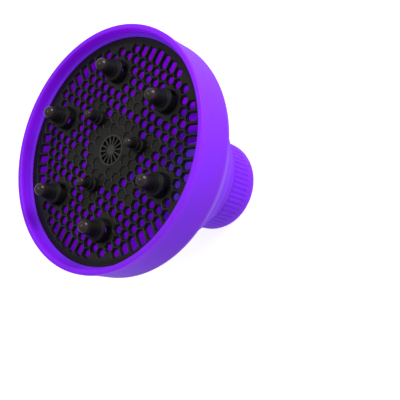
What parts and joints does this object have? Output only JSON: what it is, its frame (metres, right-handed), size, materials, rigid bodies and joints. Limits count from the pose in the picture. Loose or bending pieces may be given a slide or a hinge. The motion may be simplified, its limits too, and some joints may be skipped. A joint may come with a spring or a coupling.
{
  "type": "hair dryer diffuser",
  "caption": "Collapsible silicone hair dryer diffuser: wide bowl with folding bands and a ribbed nozzle collar, holding a black honeycomb grille with upright fingers.",
  "frame": {"origin": "centre of the collar's open end, the end that goes over the dryer's nozzle", "axes": "+Z along the air flow, from the collar to the rim; outer_finger_2 lies towards +Y and inner_finger_1 towards +X"},
  "size_m": [0.15, 0.15, 0.1237],
  "materials": {
    "silicone": "satin moulded silicone",
    "grille_plastic": "fine matt",
    "finger_plastic": "polished at the tips"
  },
  "bodies": {
    "collar": {"nozzle_collar": "silicone", "collar_grip_ribs": "silicone", "collar_ledge": "silicone"},
    "middle_ring": {"middle_fold_ring": "silicone", "lower_fold_band": "silicone"},
    "bowl": {"rim_lip": "silicone", "bowl_wall": "silicone", "bowl_shoulder": "silicone", "grille_groove": "silicone", "upper_fold_band": "silicone", "honeycomb_grille": "grille_plastic", "centre_spoked_wheel": "grille_plastic", "outer_finger_1": "finger_plastic", "outer_finger_2": "finger_plastic", "outer_finger_3": "finger_plastic", "outer_finger_4": "finger_plastic", "outer_finger_5": "finger_plastic", "outer_finger_6": "finger_plastic", "inner_finger_1": "finger_plastic", "inner_finger_2": "finger_plastic", "inner_finger_3": "finger_plastic"}
  },
  "joints": [
    {"name": "lower_fold", "type": "slide", "parent": "collar", "child": "middle_ring", "axis": [0, 0, 1], "range_m": [-0.025, 0], "deforming": ["lower_fold_band"]},
    {"name": "upper_fold", "type": "slide", "parent": "middle_ring", "child": "bowl", "axis": [0, 0, 1], "range_m": [-0.025, 0], "deforming": ["upper_fold_band"]}
  ]
}
